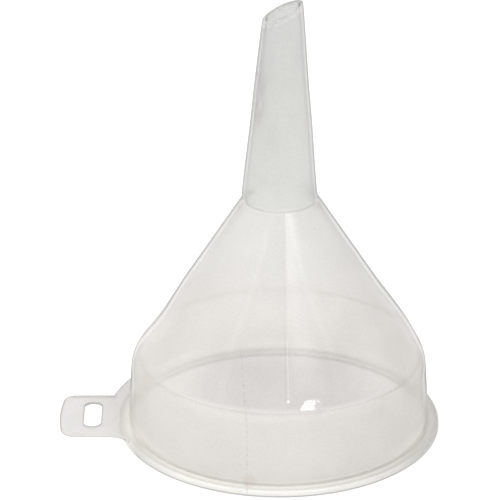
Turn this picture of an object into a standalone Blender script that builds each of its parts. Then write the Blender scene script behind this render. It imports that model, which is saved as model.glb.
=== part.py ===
"""A household funnel of milky polypropylene, standing mouth down.

The real funnel is one thin-walled moulding. It is split here at its own natural lines into
five rigid sections: the rim, the collar with its rounded shoulder, the cone, the spout with
its slanted end, and the hanging tab. Neighbouring sections stand a hair's breadth apart.

Metres, +Z up through the spout. The origin is the middle of the bounding box's floor, so the
funnel's own axis is a little to the +X side of it and the tab reaches out along -X.
"""

import math

import bmesh
import bpy

# Driving dimensions
RIM_RADIUS = 0.0600  # over the rim, which makes the funnel 120 mm wide
RIM_HEIGHT = 0.0025
RIM_ROUNDING = 0.0014  # along the rim's upper outer edge
WALL = 0.0012  # thickness of every wall
COLLAR_FOOT_RADIUS = 0.0564  # outside the collar, level with the top of the rim
CORNER_RADIUS = 0.0548  # where the collar's and the cone's lines would meet
CORNER_Z = 0.0273
SHOULDER_ROUNDING = 0.0125
JUNCTION_RADIUS = 0.0140  # where the cone's and the spout's lines would meet
JUNCTION_Z = 0.0923
JUNCTION_ROUNDING = 0.0020
TIP_RADIUS = 0.00735  # outside the spout, level with the middle of its end
TIP_Z = 0.1651
TIP_SLOPE = 0.48  # rise of the slanted end for each metre towards +X
TAB_REACH = 0.0825  # from the funnel's axis to the end of the tab
TAB_WIDTH = 0.0330
TAB_THICKNESS = 0.0010
BACK_CORNER = 0.0045  # rounding of the tab's outer corner on the +Y side
FRONT_CORNER = 0.0060  # and on the -Y side
FRONT_ROOT_ROUNDING = 0.0075  # where the tab's -Y edge runs into the rim
WEB_WIDTH = 0.0048  # how far the web at the tab's +Y root stands out from the rim
WEB_FULL_DEG = 27.0  # the web keeps its full width this far round from the tab
WEB_END_DEG = 38.0  # and has died away into the rim here
SLOT_RADIUS = 0.0701  # from the funnel's axis to the slot's middle
SLOT_WIDTH = 0.0065
SLOT_LENGTH = 0.0192
SLOT_OFFSET = 0.0009  # the slot's middle sits this far to the tab's +Y side
JOINT_GAP = 0.0003  # between neighbouring sections
WEB_END_STUB = 0.0002  # the web's last trace, so that it doesn't end in a feather edge

# Fineness of the solids
SECTION_SIDES = 72
ARC_STEPS = 6
TAB_END_STEPS = 8
SLOT_END_STEPS = 10
WEB_STEPS = 14
ROOT_STEPS = 16
WELD_DISTANCE = 0.000005
TURN_WELD_DISTANCE = 0.00001
SMOOTH_BELOW_DEG = 30.0  # edges that bend less than this are shaded smooth
CUTTER_SIZE = 0.05

# Values that follow from them
AXIS_X = (TAB_REACH - RIM_RADIUS) / 2
TAB_Z = RIM_HEIGHT - TAB_THICKNESS / 2
ROOT_RADIUS = RIM_RADIUS + JOINT_GAP  # the tab's edge that faces the rim

MILKY = (0.84, 0.83, 0.80, 1.0)
CLEARER = (0.80, 0.80, 0.77, 1.0)
ROUGHNESS = 0.32
COLLECTION = "canning_funnel"
CUTTERS = "cutters"


def clear_scene():
    for item in list(bpy.data.objects):
        bpy.data.objects.remove(item, do_unlink=True)


def add_collection(name):
    collection = bpy.data.collections.new(name)
    bpy.context.scene.collection.children.link(collection)
    return collection


def plastic(name, colour):
    """A smooth natural polypropylene."""
    material = bpy.data.materials.new(name)
    material.use_nodes = True
    shader = material.node_tree.nodes["Principled BSDF"]
    shader.inputs["Base Color"].default_value = colour
    shader.inputs["Roughness"].default_value = ROUGHNESS
    shader.inputs["Metallic"].default_value = 0.0
    material.diffuse_color = colour
    return material


# Profiles, as (radius, height) points


def shifted_line(start, end, depth):
    """The line through start and end, moved depth to its inner side, as a point and a slope vector."""
    run = (end[0] - start[0], end[1] - start[1])
    length = math.hypot(*run)
    along = (run[0] / length, run[1] / length)
    inward = (-along[1], along[0])
    point = (start[0] + inward[0] * depth, start[1] + inward[1] * depth)
    return point, along


def crossing(first, second):
    """Where two lines cross, each given as a point and a slope vector."""
    (ax, az), (adx, adz) = first
    (bx, bz), (bdx, bdz) = second
    turn = adx * bdz - adz * bdx
    travel = ((bx - ax) * bdz - (bz - az) * bdx) / turn
    return (ax + adx * travel, az + adz * travel)


def rounded_corner(first, second, radius):
    """An arc of this radius that is tangent to both lines, which run one after the other."""
    corner = crossing(first, second)
    heading = math.atan2(first[1][1], first[1][0])
    turn = math.atan2(second[1][1], second[1][0]) - heading
    side = math.copysign(1.0, turn)
    lead = radius * math.tan(abs(turn) / 2)
    start = (corner[0] - first[1][0] * lead, corner[1] - first[1][1] * lead)
    centre = (
        start[0] - math.sin(heading) * radius * side,
        start[1] + math.cos(heading) * radius * side,
    )
    points = []
    for step in range(ARC_STEPS + 1):
        angle = heading - side * math.pi / 2 + turn * step / ARC_STEPS
        points.append((centre[0] + math.cos(angle) * radius, centre[1] + math.sin(angle) * radius))
    return points


def moulding_path(depth):
    """The body's surface at this depth below its outer face, from below the rim up past the tip."""
    foot = (COLLAR_FOOT_RADIUS, RIM_HEIGHT)
    corner = (CORNER_RADIUS, CORNER_Z)
    junction = (JUNCTION_RADIUS, JUNCTION_Z)
    tip = (TIP_RADIUS, TIP_Z)
    collar = shifted_line(foot, corner, depth)
    cone = shifted_line(corner, junction, depth)
    spout = shifted_line(junction, tip, depth)
    beyond = TIP_RADIUS + WALL
    low_point = crossing(collar, ((0.0, 0.0), (1.0, 0.0)))
    high_point = crossing(spout, ((0.0, TIP_Z + beyond), (1.0, 0.0)))
    shoulder = rounded_corner(collar, cone, SHOULDER_ROUNDING - depth)
    neck = rounded_corner(cone, spout, JUNCTION_ROUNDING + depth)
    return [low_point] + shoulder + neck + [high_point]


def slice_path(path, low, high):
    """The stretch of a rising path between two heights."""

    def at_height(z):
        for (r0, z0), (r1, z1) in zip(path, path[1:]):
            if z0 <= z <= z1:
                return (r0 + (r1 - r0) * (z - z0) / (z1 - z0), z)
        return path[-1]

    between = [point for point in path if low < point[1] < high]
    return [at_height(low)] + between + [at_height(high)]


def wall_profile(low, high):
    """A closed profile of the wall between two heights: down its outer side and up its inner side."""
    outer = slice_path(moulding_path(0.0), low, high)
    inner = slice_path(moulding_path(WALL), low, high)
    return outer[::-1] + inner


def rim_profile():
    """The solid band round the mouth, flat underneath and rounded along its upper outer edge."""
    inner = slice_path(moulding_path(WALL), 0.0, RIM_HEIGHT)
    points = [(COLLAR_FOOT_RADIUS, RIM_HEIGHT)]
    for step in range(ARC_STEPS + 1):
        angle = math.pi / 2 * (1 - step / ARC_STEPS)
        points.append(
            (
                RIM_RADIUS - RIM_ROUNDING + math.cos(angle) * RIM_ROUNDING,
                RIM_HEIGHT - RIM_ROUNDING + math.sin(angle) * RIM_ROUNDING,
            )
        )
    points.append((RIM_RADIUS, 0.0))
    return points + inner


# Solids


def turned(name, profile, material, collection):
    """A closed profile turned about the funnel's axis."""
    mesh = bpy.data.meshes.new(name)
    points = [(radius, 0.0, height) for radius, height in profile]
    edges = [(i, (i + 1) % len(points)) for i in range(len(points))]
    mesh.from_pydata(points, edges, [])
    item = bpy.data.objects.new(name, mesh)
    item.location = (AXIS_X, 0.0, 0.0)
    collection.objects.link(item)
    mesh.materials.append(material)
    screw = item.modifiers.new("turn", "SCREW")
    screw.axis = "Z"
    screw.angle = math.tau
    screw.steps = SECTION_SIDES
    screw.render_steps = SECTION_SIDES
    screw.use_merge_vertices = True
    screw.merge_threshold = TURN_WELD_DISTANCE
    screw.use_smooth_shade = True
    return item


def as_smooth_mesh(item):
    """Replaces the object's modifiers by their result and shades it smooth between its sharp edges."""
    graph = bpy.context.evaluated_depsgraph_get()
    mesh = bpy.data.meshes.new_from_object(item.evaluated_get(graph))
    item.modifiers.clear()
    item.data = mesh
    mesh.shade_smooth()
    mesh.set_sharp_from_angle(angle=math.radians(SMOOTH_BELOW_DEG))
    return item


def slanted_cutter(collection):
    """A block whose underside is the plane of the spout's slanted end."""
    mesh = bpy.data.meshes.new("spout_end_cutter")
    shape = bmesh.new()
    bmesh.ops.create_cube(shape, size=CUTTER_SIZE)
    bmesh.ops.translate(shape, verts=shape.verts, vec=(0.0, 0.0, CUTTER_SIZE / 2))
    shape.to_mesh(mesh)
    shape.free()
    cutter = bpy.data.objects.new("spout_end_cutter", mesh)
    cutter.location = (AXIS_X, 0.0, TIP_Z)
    cutter.rotation_euler = (0.0, -math.atan(TIP_SLOPE), 0.0)
    cutter.hide_render = True
    cutter.display_type = "WIRE"
    collection.objects.link(cutter)
    return cutter


def make_rim(collection):
    material = plastic("rim_plastic", MILKY)
    return as_smooth_mesh(turned("rim", rim_profile(), material, collection))


def make_collar(collection):
    """The straight band above the rim, up to where the rounded shoulder meets the cone."""
    material = plastic("collar_plastic", CLEARER)
    profile = wall_profile(RIM_HEIGHT + JOINT_GAP, shoulder_top() - JOINT_GAP / 2)
    return as_smooth_mesh(turned("collar", profile, material, collection))


def make_cone(collection):
    material = plastic("cone_plastic", CLEARER)
    profile = wall_profile(shoulder_top() + JOINT_GAP / 2, JUNCTION_Z - JOINT_GAP / 2)
    return as_smooth_mesh(turned("cone", profile, material, collection))


def make_spout(collection, cutters):
    material = plastic("spout_plastic", MILKY)
    profile = wall_profile(JUNCTION_Z + JOINT_GAP / 2, TIP_Z + TIP_RADIUS)
    spout = turned("spout", profile, material, collection)
    cut = spout.modifiers.new("slanted end", "BOOLEAN")
    cut.operation = "DIFFERENCE"
    cut.solver = "EXACT"
    cut.object = slanted_cutter(cutters)
    bpy.context.view_layer.update()
    return as_smooth_mesh(spout)


def shoulder_top():
    """The height at which the rounded shoulder runs out into the straight cone."""
    return moulding_path(0.0)[1 + ARC_STEPS][1]


def arc(centre, radius, start_deg, end_deg, steps):
    points = []
    for step in range(steps + 1):
        angle = math.radians(start_deg + (end_deg - start_deg) * step / steps)
        points.append((centre[0] + math.cos(angle) * radius, centre[1] + math.sin(angle) * radius))
    return points


def front_root():
    """The hollow rounding that runs the tab's -Y edge into the rim, from the rim's gap outwards."""
    half = TAB_WIDTH / 2
    reach = RIM_RADIUS + FRONT_ROOT_ROUNDING
    y = -half - FRONT_ROOT_ROUNDING
    centre = (-math.sqrt(reach**2 - y**2), y)
    touch_deg = math.degrees(math.atan2(-centre[1], -centre[0]))
    clear = (reach**2 + FRONT_ROOT_ROUNDING**2 - ROOT_RADIUS**2) / (2 * reach * FRONT_ROOT_ROUNDING)
    start_deg = touch_deg + math.degrees(math.acos(clear))
    return arc(centre, FRONT_ROOT_ROUNDING, start_deg, 90.0, TAB_END_STEPS)


def back_web():
    """The web at the tab's +Y root: it follows the rim at full width, then dies away."""
    start_deg = math.degrees(math.asin(TAB_WIDTH / 2 / (ROOT_RADIUS + WEB_WIDTH)))
    points = []
    for step in range(WEB_STEPS + 1):
        round_deg = start_deg + (WEB_END_DEG - start_deg) * step / WEB_STEPS
        fade = max(0.0, (round_deg - WEB_FULL_DEG) / (WEB_END_DEG - WEB_FULL_DEG))
        radius = ROOT_RADIUS + WEB_END_STUB + WEB_WIDTH * (1 - fade * fade * (3 - 2 * fade))
        angle = math.radians(180.0 - round_deg)
        points.append((math.cos(angle) * radius, math.sin(angle) * radius))
    return points


def outer_corner(rounding):
    """How far a rounded outer corner's centre lies from the funnel's axis, across and along the tab, and its lean."""
    across = TAB_WIDTH / 2 - rounding
    along = math.sqrt((TAB_REACH - rounding) ** 2 - across**2)
    return across, along, math.degrees(math.atan2(across, along))


def tab_outline():
    """The tab seen from above, about the funnel's axis, running clockwise from its front root."""
    front = front_root()
    y, x, front_lean = outer_corner(FRONT_CORNER)
    front_corner = arc((-x, -y), FRONT_CORNER, 270.0, 180.0 + front_lean, ARC_STEPS)
    y, x, back_lean = outer_corner(BACK_CORNER)
    back_corner = arc((-x, y), BACK_CORNER, 180.0 - back_lean, 90.0, ARC_STEPS)
    end = arc((0.0, 0.0), TAB_REACH, 180.0 + front_lean, 180.0 - back_lean, TAB_END_STEPS)
    front_end = math.degrees(math.asin(-front[0][1] / ROOT_RADIUS))
    inner = arc((0.0, 0.0), ROOT_RADIUS, 180.0 - WEB_END_DEG, 180.0 + front_end, ROOT_STEPS)
    return front + front_corner + end[1:-1] + back_corner + back_web() + inner[:-1]


def slot_outline():
    """The round-ended slot, long side across the tab."""
    end_y = (SLOT_LENGTH - SLOT_WIDTH) / 2
    near = arc((-SLOT_RADIUS, SLOT_OFFSET + end_y), SLOT_WIDTH / 2, 0.0, 180.0, SLOT_END_STEPS)
    far = arc((-SLOT_RADIUS, SLOT_OFFSET - end_y), SLOT_WIDTH / 2, 180.0, 360.0, SLOT_END_STEPS)
    return near + far


def make_hanging_tab(collection):
    """A flat outline with a slot in it, filled and given its thickness."""
    curve = bpy.data.curves.new("hanging_tab_outline", "CURVE")
    curve.dimensions = "2D"
    curve.fill_mode = "BOTH"
    curve.extrude = TAB_THICKNESS / 2
    for outline in (tab_outline(), slot_outline()):
        spline = curve.splines.new("POLY")
        spline.points.add(len(outline) - 1)
        for point, (x, y) in zip(spline.points, outline):
            point.co = (x, y, 0.0, 1.0)
        spline.use_cyclic_u = True
    flat = bpy.data.objects.new("hanging_tab_outline", curve)
    flat.location = (AXIS_X, 0.0, TAB_Z)
    collection.objects.link(flat)
    bpy.context.view_layer.update()

    graph = bpy.context.evaluated_depsgraph_get()
    mesh = bpy.data.meshes.new_from_object(flat.evaluated_get(graph))
    shape = bmesh.new()
    shape.from_mesh(mesh)
    bmesh.ops.remove_doubles(shape, verts=shape.verts, dist=WELD_DISTANCE)
    bmesh.ops.recalc_face_normals(shape, faces=shape.faces)
    shape.to_mesh(mesh)
    shape.free()
    mesh.materials.clear()
    mesh.materials.append(plastic("hanging_tab_plastic", MILKY))
    tab = bpy.data.objects.new("hanging_tab", mesh)
    tab.matrix_world = flat.matrix_world
    collection.objects.link(tab)
    bpy.data.objects.remove(flat, do_unlink=True)
    return tab


def build():
    clear_scene()
    parts = add_collection(COLLECTION)
    cutters = add_collection(CUTTERS)
    make_rim(parts)
    make_collar(parts)
    make_cone(parts)
    make_spout(parts, cutters)
    make_hanging_tab(parts)


build()
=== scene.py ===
"""The funnel as it looks: one milky polypropylene moulding, mouth down on a pale floor in soft light.

The skin is built here in metres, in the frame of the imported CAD, as five closed pieces that meet
edge to edge: rim, collar, cone, spout and hanging tab. Each stands for the CAD node of that name.
"""

import functools
import math

import bmesh
import bpy
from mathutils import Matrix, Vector
from mathutils.geometry import tessellate_polygon


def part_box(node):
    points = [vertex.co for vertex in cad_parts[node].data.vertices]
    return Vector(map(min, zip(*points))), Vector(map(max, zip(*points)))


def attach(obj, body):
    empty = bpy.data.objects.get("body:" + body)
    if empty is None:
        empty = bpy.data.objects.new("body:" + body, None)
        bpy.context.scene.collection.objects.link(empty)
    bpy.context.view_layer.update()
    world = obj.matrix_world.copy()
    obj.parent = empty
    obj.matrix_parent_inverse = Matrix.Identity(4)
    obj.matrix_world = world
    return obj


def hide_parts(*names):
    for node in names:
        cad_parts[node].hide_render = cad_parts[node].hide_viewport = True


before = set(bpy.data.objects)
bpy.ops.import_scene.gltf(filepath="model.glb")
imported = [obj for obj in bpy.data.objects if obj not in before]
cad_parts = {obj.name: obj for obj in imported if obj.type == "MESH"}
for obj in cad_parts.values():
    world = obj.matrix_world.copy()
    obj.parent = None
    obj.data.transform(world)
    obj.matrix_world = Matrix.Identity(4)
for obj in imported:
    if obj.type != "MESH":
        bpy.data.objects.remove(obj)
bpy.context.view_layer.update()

MM = 0.001

# Sizes read from the CAD nodes
RIM_LOW, RIM_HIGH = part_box("rim")
TAB_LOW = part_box("hanging_tab")[0]
AXIS_X = (RIM_LOW.x + RIM_HIGH.x) / 2
RIM_RADIUS = (RIM_HIGH.x - RIM_LOW.x) / 2
RIM_HEIGHT = RIM_HIGH.z
TAB_REACH = AXIS_X - TAB_LOW.x
TAB_UNDERSIDE = TAB_LOW.z

# The moulding's lines, as radius and height about its own axis
WALL = 1.2 * MM
COLLAR_FOOT = (56.4 * MM, RIM_HEIGHT)
CORNER = (54.8 * MM, 27.3 * MM)
JUNCTION = (14.0 * MM, 92.3 * MM)
TIP = (7.35 * MM, 165.1 * MM)
TIP_SLOPE = 0.48
RIM_ROUNDING = 1.4 * MM
FOOT_FILLET = 0.5 * MM
SHOULDER_ROUNDING = 12.5 * MM
NECK_ROUNDING = 2.0 * MM
EDGE_ROUNDING = 0.22 * MM

# The tab
TAB_HALF_WIDTH = 16.5 * MM
TAB_EDGE_ROUNDING = 0.4 * MM
TAB_PROUD = 0.002 * MM
TAB_SUNK = 0.2 * MM
BACK_CORNER = 4.5 * MM
FRONT_CORNER = 6.0 * MM
ROOT_ROUNDING = 7.5 * MM
WEB_WIDTH = 4.8 * MM
WEB_FULL_DEG = 27.0
WEB_END_DEG = 38.0
SLOT_RADIUS = 70.1 * MM
SLOT_WIDTH = 6.5 * MM
SLOT_LENGTH = 19.2 * MM
SLOT_OFFSET = 0.9 * MM

# The mark low on the cone, whose rise is the height gained per length along it, and the moulding line
# down its front, with the line's distance to the +X side in mm
LENS_LOW, LENS_HIGH = 30.9 * MM, 34.3 * MM
LENS_TURN, LENS_HALF_TURN = math.radians(12.2), math.radians(5.2)
LENS_SLOPE = math.tan(math.radians(4.5))
CONE_RISE = 0.85
LINE_LOW = 34.0 * MM
LINE_HEIGHT = 0.16 * MM
LINE_WIDTH = 0.42 * MM
LINE_AT_CORNER, LINE_AT_JUNCTION = 3.0, 1.7

# The moulding isn't quite true: how far its middle strays towards +X, as height and distance in mm
STRAY = (
    (2, 0.0), (7, -0.2), (23, -0.2), (40, 1.2), (58, 0.4), (90, 0.3), (95, -0.1), (130, 0.45), (170, 1.1),
)

# The lip's rings from the outside in, as depth in the wall and drop below the slanted end in mm
LIP = ((0.03, 0.22), (0.12, 0.08), (0.30, 0.01), (0.60, 0.0), (0.90, 0.01), (1.08, 0.08), (1.17, 0.22))

# How finely the skin is divided
COLLAR_STRIPS = 10
SHOULDER_STRIPS = 20
CONE_FOOT_STRIPS = 22
CONE_FOOT_SHARE = 0.08
CONE_STRIPS = 44
NECK_STRIPS = 8
SPOUT_STRIPS = 36
EVEN_COLUMNS = 288
FINE_COLUMNS = 72
FINE_START_DEG, FINE_PITCH_DEG, FINE_MARGIN_DEG = 2.2, 0.22, 0.5
CUTTER_SIDES = 720
SMOOTH_DEG = 32.0

FRONT = -math.pi / 2
OUTSIDE, JOINT, INSIDE = range(3)


# ---------------------------------------------------------------- profiles


def shifted_line(start, end, depth):
    """The line through start and end, moved depth towards the funnel's inside."""
    run = Vector((end[0] - start[0], end[1] - start[1])).normalized()
    return Vector(start) + Vector((-run.y, run.x)) * depth, run


def level_line(height):
    """The line straight outwards at this height."""
    return Vector((0.0, height)), Vector((1.0, 0.0))


def crossing(first, second):
    """Where two lines meet."""
    (a, along), (b, other) = first, second
    gap = b - a
    travel = (gap.x * other.y - gap.y * other.x) / (along.x * other.y - along.y * other.x)
    return a + along * travel


def rounded_corner(first, second, radius, steps):
    """An arc of this radius, tangent to both lines, which run one after the other."""
    corner = crossing(first, second)
    heading = math.atan2(first[1].y, first[1].x)
    turn = math.atan2(second[1].y, second[1].x) - heading
    side = math.copysign(1.0, turn)
    start = corner - first[1] * radius * math.tan(abs(turn) / 2)
    centre = start + Vector((-math.sin(heading), math.cos(heading))) * radius * side
    points = []
    for step in range(steps + 1):
        angle = heading - side * math.pi / 2 + turn * step / steps
        points.append(centre + Vector((math.cos(angle), math.sin(angle))) * radius)
    return points


def quarter_turn(steps):
    """Angles from nothing to a right angle, both included."""
    return [math.pi / 2 * step / steps for step in range(steps + 1)]


def lines_at(depth):
    """The collar's, the cone's and the spout's straight lines, this deep in the wall."""
    return (
        shifted_line(COLLAR_FOOT, CORNER, depth),
        shifted_line(CORNER, JUNCTION, depth),
        shifted_line(JUNCTION, TIP, depth),
    )


def stretch(start, end, count):
    """Points from start to end, both included."""
    return [start.lerp(end, step / count) for step in range(count + 1)]


def join(*runs):
    """Runs of points end to end, without repeating the shared ones."""
    points = []
    for run in runs:
        for point in run:
            if not points or (point - points[-1]).length > 1e-7:
                points.append(point)
    return points


def wall_sections(depth):
    """The wall's face at this depth, as the collar's, the cone's and the spout's runs of points."""
    collar, cone, spout = lines_at(depth)
    shoulder = rounded_corner(collar, cone, SHOULDER_ROUNDING - depth, SHOULDER_STRIPS)
    neck = rounded_corner(cone, spout, NECK_ROUNDING + depth, NECK_STRIPS)
    foot = crossing(collar, level_line(RIM_HEIGHT + FOOT_FILLET))
    above_lens = shoulder[-1].lerp(neck[0], CONE_FOOT_SHARE)
    middle = len(neck) // 2
    return (
        join(stretch(foot, shoulder[0], COLLAR_STRIPS), shoulder),
        join(
            stretch(shoulder[-1], above_lens, CONE_FOOT_STRIPS),
            stretch(above_lens, neck[0], CONE_STRIPS),
            neck[: middle + 1],
        ),
        neck[middle:],
    )


# ---------------------------------------------------------------- columns round the axis


def columns():
    """The azimuths of the skin's columns: even all round, and closer where the mould's fine marks are."""
    even = [math.tau * step / EVEN_COLUMNS - math.pi for step in range(EVEN_COLUMNS)]
    fine = [FRONT + math.radians(FINE_START_DEG + FINE_PITCH_DEG * step) for step in range(FINE_COLUMNS)]
    low, high = fine[0] - math.radians(FINE_MARGIN_DEG), fine[-1] + math.radians(FINE_MARGIN_DEG)
    return sorted([angle for angle in even if not low < angle < high] + fine)


COLUMNS = columns()


def smooth_step(value, low, high):
    """0 up to low, 1 from high on, and a soft rise between them."""
    share = min(1.0, max(0.0, (value - low) / (high - low)))
    return share * share * (3 - 2 * share)


def moulding_line_offset(height):
    """How far to the +X side of the front the fine moulding line runs, at this height."""
    share = (height - CORNER[1]) / (JUNCTION[1] - CORNER[1])
    return MM * (LINE_AT_CORNER + (LINE_AT_JUNCTION - LINE_AT_CORNER) * share)


def lens_relief(angle, height):
    """A small raised mark low on the cone, flat below and curved above, that tips its face to the light."""
    off = (angle - FRONT - LENS_TURN) / LENS_HALF_TURN
    if abs(off) >= 1.0 or height < LENS_LOW:
        return 0.0
    top = LENS_LOW + (LENS_HIGH - LENS_LOW) * math.sqrt(1 - off * off)
    if height > top:
        return 0.0
    return LENS_SLOPE * (LENS_HIGH - height) / CONE_RISE


def line_relief(radius, angle, height):
    """The fine moulding line down the cone's front, plainest low down."""
    if not LINE_LOW <= height <= JUNCTION[1]:
        return 0.0
    across = radius * math.sin(angle - FRONT) - moulding_line_offset(height)
    size = LINE_HEIGHT * (0.25 + 0.75 * (1 - smooth_step(height, 45 * MM, 62 * MM)))
    start = smooth_step(height, LINE_LOW, LINE_LOW + 1.5 * MM)
    return size * start * math.exp(-((across / LINE_WIDTH) ** 2))


def relief(radius, angle, height):
    """How far the outer skin stands out here."""
    return lens_relief(angle, height) + line_relief(radius, angle, height)


def out_of_true(height):
    """How far the moulding's middle has strayed towards +X at this height."""
    for (low, before), (high, after) in zip(STRAY, STRAY[1:]):
        if height <= high * MM:
            return MM * (before + (after - before) * smooth_step(height / MM, low, high))
    return MM * STRAY[-1][1]


def out_from_axis(radius, angle, height):
    """The point this far out from the moulding's own, slightly strayed, middle."""
    middle = AXIS_X + out_of_true(height)
    return Vector((middle + math.cos(angle) * radius, math.sin(angle) * radius, height))


# ---------------------------------------------------------------- skins


def skin_mesh(name, rings, joint_rings, inside_from):
    """A closed band of rings, each a list of points, one for each column. joint_rings are the numbers of
    the strips that only close a piece against its neighbour, and the inside's strips start at inside_from."""
    mesh = bpy.data.meshes.new(name)
    shape = bmesh.new()
    rows = [[shape.verts.new(point) for point in ring] for ring in rings]
    count = len(rows[0])
    for number, row in enumerate(rows):
        above = rows[(number + 1) % len(rows)]
        is_joint = number in joint_rings
        side = INSIDE if number >= inside_from else OUTSIDE
        for step in range(count):
            after = (step + 1) % count
            face = shape.faces.new((row[step], row[after], above[after], above[step]))
            face.smooth = not is_joint
            face.material_index = JOINT if is_joint else side
    bmesh.ops.recalc_face_normals(shape, faces=shape.faces)
    shape.to_mesh(mesh)
    shape.free()
    return mesh


def turned_rings(points, outer):
    """A ring of points for each point of a section, with the outer skin's relief if it is the outer one."""
    rings = []
    for radius, height in points:
        ring = []
        for angle in COLUMNS:
            raised = relief(radius, angle, height) if outer else 0.0
            ring.append(out_from_axis(radius + raised, angle, height))
        rings.append(ring)
    return rings


def make_band(name, outer, inner):
    """A piece of wall between two of the moulding's own lines."""
    rings = turned_rings(outer, True) + turned_rings(inner[::-1], False)
    joints = {len(outer) - 1, len(rings) - 1}
    return skin_mesh(name, rings, joints, len(outer))


def spout_radius(depth, angle, below):
    """Where the spout's wall, depth deep, is cut off by the slanted end, less a height below it."""
    start, run = shifted_line(JUNCTION, TIP, depth)
    lean = run.x / run.y
    foot = start.x - lean * start.y
    top = TIP[1] - below
    radius = (foot + lean * top) / (1 - lean * TIP_SLOPE * math.cos(angle))
    return radius, top + TIP_SLOPE * math.cos(angle) * radius


def spout_wall_rings(depth, neck):
    """Rings from the neck up, level at first and tilting to match the slanted end near it."""
    start, run = shifted_line(JUNCTION, TIP, depth)
    rings = turned_rings(neck, depth == 0.0)
    base = neck[-1].y
    middle = TIP[1] - 2 * EDGE_ROUNDING
    for step in range(1, SPOUT_STRIPS + 1):
        share = step / SPOUT_STRIPS
        ring = []
        for angle in COLUMNS:
            _, end = spout_radius(depth, angle, 2 * EDGE_ROUNDING)
            height = base + share * (middle - base) + share**4 * (end - middle)
            radius = start.x + (height - start.y) * run.x / run.y
            ring.append(out_from_axis(radius, angle, height))
        rings.append(ring)
    return rings


def make_spout(neck_outer, neck_inner):
    """The tapered spout, with its slanted end softly rounded on both edges."""
    lip = []
    for depth, below in LIP:
        ring = []
        for angle in COLUMNS:
            radius, height = spout_radius(depth * MM, angle, below * MM)
            ring.append(out_from_axis(radius, angle, height))
        lip.append(ring)
    outer = spout_wall_rings(0.0, neck_outer)
    inner = spout_wall_rings(WALL, neck_inner)
    rings = outer + lip + inner[::-1]
    return skin_mesh("spout", rings, {len(rings) - 1}, len(outer) + len(lip) // 2)


def rim_points():
    """The rim's section: up its outer side, over its rounding, and into the collar's foot."""
    points = []
    for angle in quarter_turn(3):
        radius = RIM_RADIUS - EDGE_ROUNDING * (1 - math.sin(angle))
        points.append(Vector((radius, EDGE_ROUNDING * (1 - math.cos(angle)))))
    for angle in quarter_turn(8):
        radius = RIM_RADIUS - RIM_ROUNDING * (1 - math.cos(angle))
        points.append(Vector((radius, RIM_HEIGHT - RIM_ROUNDING * (1 - math.sin(angle)))))
    top = (Vector((RIM_RADIUS, RIM_HEIGHT)), Vector((-1.0, 0.0)))
    points += rounded_corner(top, lines_at(0.0)[0], FOOT_FILLET, 6)
    points.append(wall_sections(0.0)[0][0])
    return join(points)


def make_rim_mesh():
    """The rim, closed by its inner side and its flat underside."""
    outer = rim_points()
    top = wall_sections(WALL)[0][0]
    low = crossing(lines_at(WALL)[0], level_line(EDGE_ROUNDING))
    rounding = Vector((low.x + EDGE_ROUNDING * 0.3, EDGE_ROUNDING * 0.3))
    inner = stretch(top, low, 3) + [rounding, Vector((low.x + EDGE_ROUNDING, 0.0))]
    rings = turned_rings(outer, False) + turned_rings(inner, False)
    return skin_mesh("rim", rings, {len(outer) - 1}, len(outer))


# ---------------------------------------------------------------- the hanging tab


def arc(centre, radius, start_deg, end_deg, steps):
    """Points along an arc, both ends included."""
    points = []
    for step in range(steps + 1):
        angle = math.radians(start_deg + (end_deg - start_deg) * step / steps)
        points.append(Vector((centre[0] + math.cos(angle) * radius, centre[1] + math.sin(angle) * radius)))
    return points


def outer_corner(rounding):
    """Where a rounded outer corner's centre lies, across and along the tab, and its lean off the middle."""
    across = TAB_HALF_WIDTH - rounding
    along = math.sqrt((TAB_REACH - rounding) ** 2 - across**2)
    return across, along, math.degrees(math.atan2(across, along))


def tab_outline():
    """The tab from above, about the funnel's axis, its root sunk into the rim."""
    reach = RIM_RADIUS + ROOT_ROUNDING
    root_y = -TAB_HALF_WIDTH - ROOT_ROUNDING
    root = (-math.sqrt(reach**2 - root_y**2), root_y)
    touch = math.degrees(math.atan2(-root[1], -root[0]))
    front_root = arc(root, ROOT_ROUNDING, touch, 90.0, 16)
    across, along, front_lean = outer_corner(FRONT_CORNER)
    front_corner = arc((-along, -across), FRONT_CORNER, 270.0, 180.0 + front_lean, 14)
    across, along, back_lean = outer_corner(BACK_CORNER)
    back_corner = arc((-along, across), BACK_CORNER, 180.0 - back_lean, 90.0, 14)
    end = arc((0.0, 0.0), TAB_REACH, 180.0 + front_lean, 180.0 - back_lean, 20)
    sunk = RIM_RADIUS - RIM_ROUNDING - TAB_SUNK
    inner = arc((0.0, 0.0), sunk, 180.0 - WEB_END_DEG, 180.0 + touch, 60)
    return join(front_root, front_corner, end, back_corner, web_outline(32), inner)


def web_outline(steps):
    """The web beside the tab's back edge, which fades into the rim."""
    start = math.degrees(math.asin(TAB_HALF_WIDTH / (RIM_RADIUS + WEB_WIDTH)))
    points = []
    for step in range(steps + 1):
        turn = start + (WEB_END_DEG - start) * step / steps
        radius = RIM_RADIUS + WEB_WIDTH * (1 - smooth_step(turn, WEB_FULL_DEG, WEB_END_DEG))
        angle = math.radians(180.0 - turn)
        points.append(Vector((math.cos(angle) * radius, math.sin(angle) * radius)))
    return points


def slot_outline():
    """The round-ended slot, long side across the tab."""
    end_y = (SLOT_LENGTH - SLOT_WIDTH) / 2
    near = arc((-SLOT_RADIUS, SLOT_OFFSET + end_y), SLOT_WIDTH / 2, 0.0, 180.0, 16)
    far = arc((-SLOT_RADIUS, SLOT_OFFSET - end_y), SLOT_WIDTH / 2, 180.0, 360.0, 16)
    return join(near, far)


def runs_anticlockwise(outline):
    """Whether the closed outline runs anticlockwise, seen from above."""
    return sum(a.x * b.y - b.x * a.y for a, b in zip(outline, outline[1:] + outline[:1])) > 0


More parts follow.
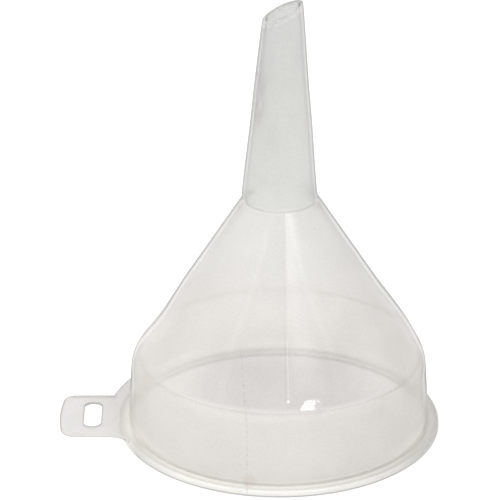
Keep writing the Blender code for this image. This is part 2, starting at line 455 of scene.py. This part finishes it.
def inset(outline, distance):
    """The closed outline moved distance to its right-hand side, seen from above."""
    moved = []
    for number, point in enumerate(outline):
        before = outline[number - 1]
        after = outline[(number + 1) % len(outline)]
        first = (point - before).normalized()
        second = (after - point).normalized()
        along = (first + second).normalized()
        side = Vector((along.y, -along.x))
        widen = 1 / max(0.5, math.sqrt(max(0.0, (1 + first.dot(second)) / 2)))
        moved.append(point + side * distance * widen)
    return moved


def tab_levels():
    """The plate's rounded edge from below, as distances in from its outline and heights."""
    low, high = TAB_UNDERSIDE, RIM_HEIGHT + TAB_PROUD
    levels = []
    for angle in quarter_turn(4):
        depth = TAB_EDGE_ROUNDING * (1 - math.sin(angle))
        levels.append((depth, low + TAB_EDGE_ROUNDING * (1 - math.cos(angle))))
    for angle in quarter_turn(4):
        depth = TAB_EDGE_ROUNDING * (1 - math.cos(angle))
        levels.append((depth, high - TAB_EDGE_ROUNDING * (1 - math.sin(angle))))
    return levels


def make_tab_mesh():
    """A plate with rounded edges and a rounded slot."""
    # Run clockwise, the outline has the plate on its right, and so has the slot, run anticlockwise
    outline = tab_outline()
    if runs_anticlockwise(outline):
        outline.reverse()
    slot = slot_outline()
    if not runs_anticlockwise(slot):
        slot.reverse()
    mesh = bpy.data.meshes.new("hanging_tab")
    shape = bmesh.new()
    caps = []
    for loop in (outline, slot):
        rows = []
        for depth, height in tab_levels():
            rows.append([shape.verts.new((AXIS_X + p.x, p.y, height)) for p in inset(loop, depth)])
        for row, above in zip(rows, rows[1:]):
            for step in range(len(row)):
                after = (step + 1) % len(row)
                shape.faces.new((row[step], row[after], above[after], above[step]))
        caps.append((rows[0], rows[-1]))
    for which in (0, 1):
        loops = [[vert.co.copy() for vert in cap[which]] for cap in caps]
        verts = [vert for cap in caps for vert in cap[which]]
        for triangle in tessellate_polygon(loops):
            shape.faces.new([verts[index] for index in triangle])
    bmesh.ops.recalc_face_normals(shape, faces=shape.faces)
    for face in shape.faces:
        face.smooth = True
    shape.to_mesh(mesh)
    shape.free()
    return mesh


def with_boolean(item, cutter, operation):
    """The mesh that is left of item once it is joined with, kept within or cut by the cutter."""
    modifier = item.modifiers.new(operation.lower(), "BOOLEAN")
    modifier.operation = operation
    modifier.solver = "EXACT"
    modifier.object = cutter
    bpy.context.view_layer.update()
    graph = bpy.context.evaluated_depsgraph_get()
    mesh = bpy.data.meshes.new_from_object(item.evaluated_get(graph))
    item.modifiers.clear()
    return mesh


def cylinder_mesh(radius, low, high, sides):
    """An upright cylinder about the funnel's axis, which leaves joint faces where it cuts."""
    mesh = bpy.data.meshes.new("rim_tab_cutter")
    shape = bmesh.new()
    loops = []
    for height in (low, high):
        loop = []
        for step in range(sides):
            angle = math.tau * step / sides
            across, depth = math.cos(angle) * radius, math.sin(angle) * radius
            loop.append(shape.verts.new((AXIS_X + across, depth, height)))
        loops.append(loop)
    for step in range(sides):
        after = (step + 1) % sides
        shape.faces.new((loops[0][step], loops[0][after], loops[1][after], loops[1][step]))
    shape.faces.new(loops[0])
    shape.faces.new(loops[1])
    bmesh.ops.recalc_face_normals(shape, faces=shape.faces)
    for face in shape.faces:
        face.material_index = JOINT
    shape.to_mesh(mesh)
    shape.free()
    return mesh


# ---------------------------------------------------------------- node trees


class Nodes:
    """Short calls for laying out a node tree."""

    def __init__(self, tree):
        self.tree = tree

    def add(self, kind, **settings):
        node = self.tree.nodes.new(kind)
        for name, value in settings.items():
            setattr(node, name, value)
        return node

    def feed(self, socket, value):
        if isinstance(value, bpy.types.NodeSocket):
            self.tree.links.new(value, socket)
        else:
            socket.default_value = value

    def math(self, operation, a, b=None, clamp=False):
        node = self.add("ShaderNodeMath", operation=operation, use_clamp=clamp)
        self.feed(node.inputs[0], a)
        if b is not None:
            self.feed(node.inputs[1], b)
        return node.outputs[0]

    def total(self, *values):
        return functools.reduce(lambda first, second: self.math("ADD", first, second), values)

    def product(self, *values):
        return functools.reduce(lambda first, second: self.math("MULTIPLY", first, second), values)

    def largest(self, *values):
        return functools.reduce(lambda first, second: self.math("MAXIMUM", first, second), values)

    def less(self, value, other):
        return self.math("SUBTRACT", value, other)

    def ramp(self, value, low, high, out_low=0.0, out_high=1.0, smooth=True):
        """out_low up to low, out_high from high on, and a soft or a straight rise between them."""
        node = self.add("ShaderNodeMapRange", interpolation_type="SMOOTHSTEP" if smooth else "LINEAR")
        for socket, item in zip(node.inputs, (value, low, high, out_low, out_high)):
            self.feed(socket, item)
        return node.outputs[0]

    def span(self, value, centre, reach):
        """1 where value is at centre, falling to 0 at reach on either side."""
        return self.ramp(self.math("ABSOLUTE", self.less(value, centre)), 0.0, reach, 1.0, 0.0)

    def mix(self, share, first, second):
        node = self.add("ShaderNodeMix", data_type="RGBA")
        self.feed(node.inputs["Factor"], share)
        self.feed(node.inputs[6], first)
        self.feed(node.inputs[7], second)
        return node.outputs[2]

    def flat(self, value):
        """A plain value as a place on the X axis."""
        node = self.add("ShaderNodeCombineXYZ")
        self.feed(node.inputs["X"], value)
        return node.outputs[0]

    def split(self, vector):
        """The vector's X, Y and Z."""
        node = self.add("ShaderNodeSeparateXYZ")
        self.feed(node.inputs[0], vector)
        return tuple(node.outputs)

    def scaled(self, vector, level):
        """The colour or the place times a plain level."""
        node = self.add("ShaderNodeVectorMath", operation="SCALE")
        self.feed(node.inputs[0], vector)
        self.feed(node.inputs["Scale"], level)
        return node.outputs[0]

    def noise(self, vector, scale, detail=2.0):
        node = self.add("ShaderNodeTexNoise")
        self.feed(node.inputs["Vector"], vector)
        self.feed(node.inputs["Scale"], scale)
        self.feed(node.inputs["Detail"], detail)
        return node.outputs["Fac"]


# The rim's top and its outer side, each as where the look starts to change past it and where it has, in mm
RIM_TOP = (2.52, 2.62)
RIM_SIDE = (60.02, 60.3)

# The slanted end's height in mm where it crosses the strayed spout's own middle
SLANT = TIP[1] / MM - TIP_SLOPE * STRAY[-1][1]


class Point:
    """Where the shaded point lies, in mm about the funnel's own axis and in degrees round it, and how it is
    seen: edge_on is 1 at an outline, and within is the distance inside that outline in mm."""

    def __init__(self, n):
        about_axis = n.add("ShaderNodeVectorMath", operation="SUBTRACT")
        n.feed(about_axis.inputs[0], n.add("ShaderNodeTexCoord").outputs["Object"])
        about_axis.inputs[1].default_value = (AXIS_X, 0.0, 0.0)
        self.place = n.scaled(about_axis.outputs[0], 1 / MM)
        self.across, self.depth, self.height = n.split(self.place)
        self.turn = n.math("DEGREES", n.math("ARCTAN2", self.across, n.product(self.depth, -1.0)))
        self.from_front = n.math("ABSOLUTE", self.turn)
        squares = n.total(n.math("POWER", self.across, 2.0), n.math("POWER", self.depth, 2.0))
        self.radius = n.math("SQRT", squares)
        self.tilted = n.less(self.height, n.product(self.across, TIP_SLOPE))

        layer = n.add("ShaderNodeLayerWeight")
        layer.inputs["Blend"].default_value = 0.5
        self.edge_on = layer.outputs["Facing"]
        face_on = n.less(1.0, self.edge_on)
        chord = n.math("SQRT", n.less(1.0, n.math("POWER", face_on, 2.0)))
        self.within = n.product(self.radius, n.less(1.0, chord))

        self.grain = n.noise(self.place, 1.4)
        self.on_tab = n.ramp(self.radius, *RIM_SIDE)
        self.above_rim = n.ramp(self.height, *RIM_TOP)
        self.in_front = n.ramp(self.depth, -2.0, 0.0, 1.0, 0.0)
        self.on_lip = n.ramp(self.tilted, SLANT - 2.6, SLANT - 1.0)


def spot(n, p, centre, size):
    """1 in a small round spot, in mm, about the funnel's own axis."""
    gap = n.add("ShaderNodeVectorMath", operation="DISTANCE")
    n.feed(gap.inputs[0], p.place)
    gap.inputs[1].default_value = centre
    return n.ramp(gap.outputs["Value"], size * 0.5, size, 1.0, 0.0)


def new_material(name):
    """A material with an empty node tree, and the calls that fill it."""
    material = bpy.data.materials.new(name)
    material.use_nodes = True
    material.node_tree.nodes.clear()
    return material, Nodes(material.node_tree)


# ---------------------------------------------------------------- the plastic's colour, and the light and shade painted into it

# The plastic's colour up the moulding, as height in mm and linear colour, with painted light and shade in it:
# the upright collar and spout are painted darker and the upward-facing cone lighter
SHADES = (
    (0.0, (0.850, 0.840, 0.802)),
    (2.50, (0.850, 0.840, 0.802)),
    # A painted dark crease at the collar's foot, then a painted light line just above it
    (2.58, (0.770, 0.750, 0.710)),
    (2.75, (0.790, 0.760, 0.720)),
    (3.2, (0.800, 0.770, 0.730)),
    (3.9, (0.780, 0.751, 0.712)),
    (4.5, (0.657, 0.622, 0.585)),
    (26.0, (0.668, 0.634, 0.598)),
    (31.0, (0.726, 0.697, 0.668)),
    (90.0, (0.726, 0.717, 0.692)),
    (92.5, (0.678, 0.678, 0.658)),
    (120.0, (0.637, 0.635, 0.612)),
    (170.0, (0.590, 0.588, 0.569)),
)
# The inside is painted darker by this share, as painted shade
INSIDE_SHADE_SHARE = 0.82
WHITE = (1.0, 1.0, 1.0, 1.0)
# The tab's colour is painted darker, as painted shade, since the tab casts no shadow on itself
TAB_SHADE = (0.570, 0.552, 0.530, 1.0)
OUTLINE_SHADE = (0.33, 0.33, 0.32, 1.0)
SMUDGE_SHADE = (0.30, 0.28, 0.26, 1.0)
SPECK_AND_PAINTED_SHADE = (0.16, 0.15, 0.14, 1.0)
STAIN_SHADE = (0.50, 0.38, 0.26, 1.0)

# Spots, as a centre about the funnel's own axis and a radius, in mm
STAIN = ((-11.2, -55.2, 4.2), 3.4)
DARK_SPOTS = (((12.5, -13.3, 85.5), 0.45), ((27.6, -29.9, 49.6), 0.5), ((-8.5, -3.0, 142.0), 1.3))
# A painted highlight: a small white glint at the moulding line's foot
PAINTED_GLINT_SPOT = ((2.9, -50.5, 34.0), 0.7)
BORE_SPOTS = (((4.6, 5.3, 166.5), 1.8), ((5.4, 4.6, 165.0), 1.3))
POLISHED_SPOT = ((10.8, -50.9, 32.4), 8.0)
SHINING_SPOT = ((11.2, -50.8, 32.8), 5.5)


def shade_up_the_moulding(n, p):
    """The plastic's colour at this height, with the painted light and shade that SHADES holds."""
    ramp = n.add("ShaderNodeValToRGB")
    top = SHADES[-1][0]
    n.feed(ramp.inputs["Fac"], n.math("DIVIDE", p.height, top))
    stops = ramp.color_ramp.elements
    while len(stops) < len(SHADES):
        stops.new(0.5)
    for stop, (height, colour) in zip(stops, SHADES):
        stop.position = height / top
        stop.color = (*colour, 1.0)
    return ramp.outputs["Color"]


def mottling(n, p):
    """Broad faint clouds and a fine grain in the plastic."""
    cloud = n.noise(p.place, 0.07, 3.0)
    return n.total(n.ramp(cloud, 0.3, 0.7, 0.975, 1.02), n.ramp(p.grain, 0.25, 0.75, -0.03, 0.03))


def to_the_right(n, p):
    """Painted shade: the moulding is painted darker towards its +X side."""
    return n.product(n.ramp(p.across, 5.0, 50.0), n.ramp(p.height, 26.0, 32.0, -0.10, -0.05))


def cone_fans(n, p):
    """Painted shade and light: a darker wedge up the cone's front, with a painted light streak along each of
    its sides.
    """
    on_cone = n.product(n.ramp(p.height, 31.0, 33.0), n.ramp(p.height, 89.0, 93.0, 1.0, 0.0))
    wedge_side = n.ramp(p.height, 50.0, 90.0, 25.5, 13.0, smooth=False)
    beside = n.less(p.from_front, wedge_side)
    wedge = n.ramp(beside, -4.0, 1.0, -0.03, 0.0)
    streak = n.product(n.span(beside, 0.0, 3.5), 0.022)
    return n.product(n.total(wedge, streak), on_cone)


def low_cone(n, p):
    """Painted shade: the cone's front is painted a little darker towards the shoulder."""
    low = n.product(
        n.ramp(p.height, 30.0, 32.0),
        n.ramp(p.height, 32.0, 64.0, -0.22, 0.0),
        n.ramp(p.from_front, 26.0, 52.0, 1.0, 0.1),
    )
    middle = n.product(n.span(p.height, 43.0, 9.0), n.ramp(p.from_front, 20.0, 45.0, -0.08, 0.0))
    return n.total(low, middle)


def ledge_front(n, p):
    """Painted light: the rim's top is painted lighter next to the collar, against the shade in that corner.
    """
    return n.product(n.ramp(p.radius, 56.6, 61.0, 0.20, 0.0), n.ramp(p.height, 2.5, 2.6, 1.0, 0.0))


def rim_sides(n, p):
    """Painted light and shade: away from the front, the rim's top is painted darker towards its edge and
    beside the tab, and the collar's foot lighter. At the back the rim's top is painted lighter instead, and
    the tab stays as dark as at the front."""
    below_top = n.less(1.0, p.above_rim)
    edge = n.product(
        n.ramp(p.radius, 58.6, 59.6, 0.0, -0.22),
        n.ramp(p.height, 3.0, 4.5, 1.0, 0.0),
        n.ramp(p.across, -58.0, -52.0),
    )
    top = n.product(below_top, -0.10)
    beside_tab = n.product(n.ramp(p.across, -54.0, -46.0, -0.07, 0.0), n.less(1.0, p.on_tab), below_top)
    front_or_tab = n.largest(n.ramp(p.depth, 15.0, 40.0, 1.0, -0.8), p.on_tab)
    ledge = n.product(n.total(edge, top, beside_tab), front_or_tab)
    foot = n.product(
        p.above_rim,
        n.ramp(p.height, 4.5, 10.0, 0.22, 0.0),
        n.ramp(p.depth, 10.0, 40.0, 1.0, 1.8),
    )
    return n.product(n.ramp(p.from_front, 30.0, 75.0), n.total(ledge, foot))


def shoulder_line(n, p):
    """A fine darker line where the shoulder turns into the cone, at the front."""
    return n.product(n.span(p.height, 30.2, 0.45), n.ramp(p.from_front, 35.0, 65.0, -0.09, 0.0))


def neck_and_spout(n, p):
    """Painted light: a light ring at the neck, and a spout painted lighter towards +X."""
    ring = n.product(n.span(p.height, 92.4, 1.6), 0.15)
    across = n.product(n.ramp(p.height, 95.0, 110.0), n.ramp(p.across, -4.0, 8.0, -0.01, 0.045))
    return n.total(ring, across)


def shade_level(n, p, inside):
    """How light the plastic is painted here, as a share of its colour: a faint random mottling, and painted
    light and shade.
    """
    parts = [part(n, p) for part in (mottling, to_the_right, cone_fans, low_cone, ledge_front, rim_sides)]
    level = n.total(*parts, shoulder_line(n, p), neck_and_spout(n, p))
    # Painted shade: the inside is painted darker, less so where it is seen edge on, and painted lighter low
    # at the rim
    if inside:
        dimmed = n.ramp(p.edge_on, 0.70, 0.95, INSIDE_SHADE_SHARE, 0.95)
        level = n.product(level, n.total(dimmed, n.ramp(p.height, 2.5, 7.0, 0.14, 0.0)))
    # Painted highlight and shade on the slanted end: bright and dark flecks at random
    painted_lip_glints = n.ramp(n.noise(p.place, 0.6), 0.42, 0.66, -0.05, 0.16)
    return n.total(level, n.product(p.on_lip, painted_lip_glints))


# ---------------------------------------------------------------- wear, fine marks and painted highlights


def smudged(n, p, colour):
    """A grey smudge on the spout's left side, streaked along it."""
    streaky = n.add("ShaderNodeMapping")
    n.feed(streaky.inputs["Vector"], p.place)
    streaky.inputs["Scale"].default_value = (1.0, 1.0, 0.35)
    patches = n.ramp(n.noise(streaky.outputs[0], 0.40), 0.25, 0.68)
    share = n.product(patches, n.span(p.turn, -52.0, 30.0), n.span(p.height, 135.0, 19.0), 0.5)
    return n.mix(share, colour, SMUDGE_SHADE)


def scratched(n, p, colour):
    """A thin broken scratch down the front, from the cone to the collar."""
    path = n.ramp(p.height, 24.0, 50.0, -12.0, -14.2, smooth=False)
    away = n.math("ABSOLUTE", n.less(p.across, path))
    share = n.product(
        n.ramp(away, 0.08, 0.26, 1.0, 0.0),
        n.ramp(n.noise(n.flat(p.height), 0.8), 0.45, 0.62, 0.1, 1.0),
        n.ramp(p.height, 47.0, 51.0, 1.0, 0.0),
        p.in_front,
        0.34,
    )
    return n.mix(share, colour, SPECK_AND_PAINTED_SHADE)


def with_moulding_line(n, p, colour):
    """The moulding line's painted highlight along its crest, and a painted shade line to its left."""
    offset = n.ramp(
        p.height, CORNER[1] / MM, JUNCTION[1] / MM, LINE_AT_CORNER, LINE_AT_JUNCTION, smooth=False
    )
    beside = n.less(p.across, offset)
    clear = n.product(
        n.ramp(p.height, 42.0, 66.0, 1.0, 0.3),
        n.ramp(p.height, 33.5, 34.5),
        n.ramp(p.height, 90.0, 92.0, 1.0, 0.0),
        p.in_front,
    )
    colour = n.mix(n.product(n.span(beside, 0.1, 0.42), clear, 0.2), colour, WHITE)
    return n.mix(n.product(n.span(beside, -0.8, 0.6), clear, 0.12), colour, SPECK_AND_PAINTED_SHADE)


def wear_and_painted_glints(n, p, colour):
    """The outside with its wear: a smudge, a scratch, a stain and a few dark specks, with the moulding line's
    painted highlight and shade and a painted white glint.
    """
    colour = scratched(n, p, smudged(n, p, colour))
    colour = n.mix(n.product(spot(n, p, *STAIN), 0.2), colour, STAIN_SHADE)
    colour = with_moulding_line(n, p, colour)
    for centre, size in DARK_SPOTS:
        colour = n.mix(n.product(spot(n, p, centre, size), 0.7), colour, SPECK_AND_PAINTED_SHADE)
    # A painted highlight: the white glint at the moulding line's foot
    return n.mix(spot(n, p, *PAINTED_GLINT_SPOT), colour, WHITE)


# ---------------------------------------------------------------- outlines, painted as grey shade


def slot_gap(n, p):
    """How far outside the slot's outline a point lies, in mm."""
    straight = (SLOT_LENGTH - SLOT_WIDTH) / 2 / MM
    off_middle = n.math("ABSOLUTE", n.less(p.depth, SLOT_OFFSET / MM))
    beyond = n.largest(n.less(off_middle, straight), 0.0)
    aside = n.total(p.across, SLOT_RADIUS / MM)
    gap = n.math("SQRT", n.total(n.math("POWER", beyond, 2.0), n.math("POWER", aside, 2.0)))
    return n.less(gap, SLOT_WIDTH / 2 / MM)


def tab_edge(n, p):
    """1 along the tab's edges and its slot's, where a thin line of painted grey shade goes."""
    reach, half = TAB_REACH / MM, TAB_HALF_WIDTH / MM
    _, facing_back, facing_up = n.split(n.add("ShaderNodeNewGeometry").outputs["Normal"])
    upright = n.ramp(n.math("ABSOLUTE", facing_up), 0.90, 0.98, 1.0, 0.0)
    front_edge = n.product(n.ramp(n.less(facing_up, facing_back), 0.50, 0.90, 1.0, 0.0), upright)
    end_edge = n.ramp(p.radius, reach - 0.6, reach - 0.25, 0.0, 0.9)
    clear_of_web = n.ramp(p.across, -62.5, -61.5, 1.0, 0.0)
    back_edge = n.product(n.ramp(p.depth, half - 0.9, half - 0.3, 0.0, 0.6), clear_of_web)
    slot_edge = n.ramp(slot_gap(n, p), 0.2, 0.65, 0.75, 0.0)
    line = n.largest(front_edge, end_edge, back_edge, slot_edge)
    return n.product(line, n.ramp(p.radius, 60.1, 60.5))


def outside_outline(n, p):
    """1 along the painted grey shade line round the outside, the tab and the far lip, and along the rim's
    bottom as a painted contact shadow. The line round the outside is fainter on the collar's foot, at the
    lip's left and low on the cone."""
    on_foot = n.product(n.ramp(p.height, 2.4, 2.6), n.ramp(p.height, 13.0, 19.0, 1.0, 0.0), 0.9)
    lip_left = n.product(
        n.ramp(p.tilted, SLANT - 3.0, SLANT - 1.5, 0.0, 0.6),
        n.ramp(p.across, -4.0, -2.0, 1.0, 0.0),
    )
    on_low_cone = n.product(n.span(p.height, 36.0, 12.0), 0.4)
    line = n.ramp(p.within, 0.33, 0.80, 1.0, 0.0)
    for faded in (on_foot, lip_left, on_low_cone):
        line = n.product(line, n.less(1.0, faded))
    # A painted contact shadow along the rim's bottom
    bottom = n.product(n.ramp(p.height, 0.35, 0.95, 0.8, 0.0), n.ramp(p.across, -56.0, -52.0))
    far_lip = n.product(n.ramp(p.tilted, SLANT - 0.5, SLANT - 0.2), n.ramp(p.depth, 0.5, 3.0), 0.8)
    return n.largest(line, bottom, tab_edge(n, p), far_lip)


# ---------------------------------------------------------------- materials

FACE_ALPHA = 0.43
EDGE_ALPHA = 0.3
PLASTIC_IOR = 1.46


def opacity(n, p, inside, band, outline, dark_bore_spots):
    """How solid the plastic looks: see-through face on, and more solid where there is more of it."""
    if inside:
        wall = n.ramp(p.edge_on, 0.75, 0.98, FACE_ALPHA, 0.05)
        rim = 0.1
    else:
        wall = n.total(FACE_ALPHA, n.product(n.math("POWER", p.edge_on, 3.0), EDGE_ALPHA))
        rim = 0.35
    thick = n.product(n.ramp(p.height, 2.2, 2.8, rim, 0.0), n.ramp(p.radius, *RIM_SIDE, 1.0, 0.3))
    thin = n.total(
        wall,
        n.product(band, n.ramp(p.height, 8.0, 20.0, 0.1, 0.33)),
        n.product(outline, 0.5),
        n.product(p.on_lip, 0.12),
        n.product(dark_bore_spots, 0.4),
    )
    return n.math("ADD", thin, thick, clamp=True)


def milky_plastic(name, inside):
    """Polypropylene: see-through face on, whiter where it is thick, with painted grey shade at its outline
    and painted light and shade over it.
    """
    material, n = new_material(name)
    p = Point(n)
    colour = n.mix(p.on_tab, shade_up_the_moulding(n, p), TAB_SHADE)
    colour = n.scaled(colour, shade_level(n, p, inside))
    if inside:
        # Darker spots inside the bore near the tip
        dark_bore_spots = n.largest(*(spot(n, p, centre, size) for centre, size in BORE_SPOTS))
        colour = n.mix(n.product(dark_bore_spots, 0.7), colour, SPECK_AND_PAINTED_SHADE)
        band = 0.0
        # A faint painted grey shade at the inside's outlines
        outline = n.ramp(p.within, 0.1, 0.5, 0.1, 0.0)
    else:
        dark_bore_spots = 0.0
        colour = wear_and_painted_glints(n, p, colour)
        # The wall seen end on, as a band just inside the outline, more solid and painted darker as painted
        # shade, most on the collar
        band = n.product(n.ramp(p.within, 0.9, 1.5, 1.0, 0.0), n.ramp(p.height, 80.0, 100.0, 1.0, 0.1))
        outline = outside_outline(n, p)
        band_level = n.ramp(p.height, 24.0, 34.0, -0.15, -0.06)
        colour = n.scaled(colour, n.total(1.0, n.product(band, band_level)))
    colour = n.mix(outline, colour, OUTLINE_SHADE)

    body = n.add("ShaderNodeBsdfPrincipled")
    body.inputs["IOR"].default_value = PLASTIC_IOR
    polished = n.product(spot(n, p, *POLISHED_SPOT), -0.16)
    shine = n.total(0.5, n.product(spot(n, p, *SHINING_SPOT), 0.5))
    n.feed(body.inputs["Base Color"], colour)
    n.feed(body.inputs["Roughness"], n.total(n.ramp(p.grain, 0.2, 0.8, 0.17, 0.22), polished))
    n.feed(body.inputs["Specular IOR Level"], n.product(n.ramp(p.edge_on, 0.55, 0.92, 1.0, 0.0), shine))
    n.feed(body.inputs["Alpha"], opacity(n, p, inside, band, outline, dark_bore_spots))
    n.feed(n.add("ShaderNodeOutputMaterial").inputs["Surface"], body.outputs[0])
    return material


def joint_face():
    """Where two pieces of the one moulding meet nothing is to be seen."""
    material, n = new_material("inside_the_moulding")
    clear = n.add("ShaderNodeBsdfTransparent")
    n.feed(n.add("ShaderNodeOutputMaterial").inputs["Surface"], clear.outputs[0])
    return material


# ---------------------------------------------------------------- pieces


def place(name, mesh, materials):
    """An object of this mesh in the scene, smooth except at its sharper edges."""
    mesh.materials.clear()
    for material in materials:
        mesh.materials.append(material)
    mesh.set_sharp_from_angle(angle=math.radians(SMOOTH_DEG))
    item = bpy.data.objects.new(name, mesh)
    bpy.context.scene.collection.objects.link(item)
    return item


def place_rim_and_tab(materials):
    """The rim and the tab, joined as one solid and then parted along the rim's outer side."""
    rim = place("rim_whole", make_rim_mesh(), materials)
    tab = place("tab_whole", make_tab_mesh(), materials)
    whole = place("rim_and_tab", with_boolean(rim, tab, "UNION"), materials)
    cut = cylinder_mesh(RIM_RADIUS + 0.05 * MM, -5 * MM, 12 * MM, CUTTER_SIDES)
    cutter = place("rim_tab_cutter", cut, materials)
    rim_skin = place("rim_skin", with_boolean(whole, cutter, "INTERSECT"), materials)
    tab_skin = place("hanging_tab_skin", with_boolean(whole, cutter, "DIFFERENCE"), materials)
    for scrap in (rim, tab, whole, cutter):
        bpy.data.objects.remove(scrap, do_unlink=True)
    return rim_skin, tab_skin


def build_funnel():
    """The five pieces, each riding on the one body in place of its own CAD node."""
    joint = joint_face()
    # The inside's material is a copy of the outside's, painted darker as painted shade
    materials = [milky_plastic("milky_plastic", False), joint, milky_plastic("milky_plastic_inside_shaded", True)]
    outer = wall_sections(0.0)
    inner = wall_sections(WALL)
    pieces = {
        "collar": place("collar_skin", make_band("collar", outer[0], inner[0]), materials),
        "cone": place("cone_skin", make_band("cone", outer[1], inner[1]), materials),
        "spout": place("spout_skin", make_spout(outer[2], inner[2]), materials),
    }
    pieces["rim"], pieces["hanging_tab"] = place_rim_and_tab(materials)
    for node, piece in pieces.items():
        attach(piece, "root")
        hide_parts(node)
    # The ground under the tab stays white
    pieces["hanging_tab"].visible_shadow = False
    pieces["hanging_tab"].visible_diffuse = False


# ---------------------------------------------------------------- stage

FLOOR_REACH = 6.0
FLOOR_DROP = 0.0001
FLOOR_TONE = (0.72, 0.72, 0.72, 1.0)
FLOOR_GLOW = 0.30
SKY_BELOW, SKY_ABOVE = 0.67, 1.69
SKY_LEFT, SKY_RIGHT = 1.16, 0.84
LAMP_TARGET = Vector((AXIS_X, 0.0, 0.03))
LAMP_DISTANCE = 1.6
CAMERA_TARGET = Vector((0.00035, 0.0, 0.07092))
CAMERA_DISTANCE = 1.314
CAMERA_ELEVATION_DEG = 24.74
CAMERA_LENS, CAMERA_SENSOR = 256.6, 36.0


def build_stage():
    """A wide matt floor that gives off a little light of its own."""
    mesh = bpy.data.meshes.new("floor")
    reach = FLOOR_REACH
    corners = [(-reach, -reach, 0), (reach, -reach, 0), (reach, reach, 0), (-reach, reach, 0)]
    mesh.from_pydata(corners, [], [(0, 1, 2, 3)])
    material = bpy.data.materials.new("pale_floor")
    material.use_nodes = True
    shader = material.node_tree.nodes["Principled BSDF"]
    shader.inputs["Base Color"].default_value = FLOOR_TONE
    shader.inputs["Emission Color"].default_value = WHITE
    shader.inputs["Emission Strength"].default_value = FLOOR_GLOW
    shader.inputs["Roughness"].default_value = 0.9
    shader.inputs["Specular IOR Level"].default_value = 0.0
    mesh.materials.append(material)
    floor = bpy.data.objects.new("floor", mesh)
    floor.location.z = -FLOOR_DROP
    bpy.context.scene.collection.objects.link(floor)


def build_world():
    """Soft light from above, brighter overhead than at the horizon and on the left than on the right."""
    world = bpy.data.worlds.new("studio")
    world.use_nodes = True
    world.node_tree.nodes.clear()
    n = Nodes(world.node_tree)
    to_right, _, upward = n.split(n.add("ShaderNodeTexCoord").outputs["Generated"])
    light = n.add("ShaderNodeBackground")
    level = n.product(
        n.ramp(upward, -0.1, 0.9, SKY_BELOW, SKY_ABOVE),
        n.ramp(to_right, -0.9, 0.9, SKY_LEFT, SKY_RIGHT),
    )
    n.feed(light.inputs["Strength"], level)
    n.feed(n.add("ShaderNodeOutputWorld").inputs["Surface"], light.outputs[0])
    bpy.context.scene.world = world


def aim(name, data, target, heading_deg, elevation_deg, distance):
    """A camera or a lamp turned to its target, heading counted from the front towards +X."""
    heading, elevation = math.radians(heading_deg), math.radians(elevation_deg)
    outwards = math.cos(elevation)
    away = Vector((math.sin(heading) * outwards, -math.cos(heading) * outwards, math.sin(elevation)))
    item = bpy.data.objects.new(name, data)
    item.location = target + away * distance
    item.rotation_mode = "QUATERNION"
    item.rotation_quaternion = (-away).to_track_quat("-Z", "Y")
    bpy.context.scene.collection.objects.link(item)
    return item


def softbox(name, heading_deg, elevation_deg, wide, high, strength):
    """A rectangular lamp turned to the funnel's shoulder."""
    data = bpy.data.lights.new(name, "AREA")
    data.shape = "RECTANGLE"
    data.size = wide
    data.size_y = high
    data.energy = strength
    aim(name, data, LAMP_TARGET, heading_deg, elevation_deg, LAMP_DISTANCE)


def build_camera():
    data = bpy.data.cameras.new("camera")
    data.lens = CAMERA_LENS
    data.sensor_width = CAMERA_SENSOR
    data.clip_start = 0.05
    data.clip_end = 30.0
    camera = aim("camera", data, CAMERA_TARGET, 0.0, CAMERA_ELEVATION_DEG, CAMERA_DISTANCE)
    bpy.context.scene.camera = camera


build_camera()
build_funnel()
build_stage()
build_world()
softbox("softbox_right", heading_deg=28.3, elevation_deg=43.0, wide=0.65, high=0.22, strength=5.0)
softbox("softbox_left", heading_deg=-52.0, elevation_deg=46.0, wide=0.40, high=0.16, strength=1.8)
bpy.context.scene.view_settings.view_transform = "Standard"
bpy.context.scene.cycles.transparent_max_bounces = 24
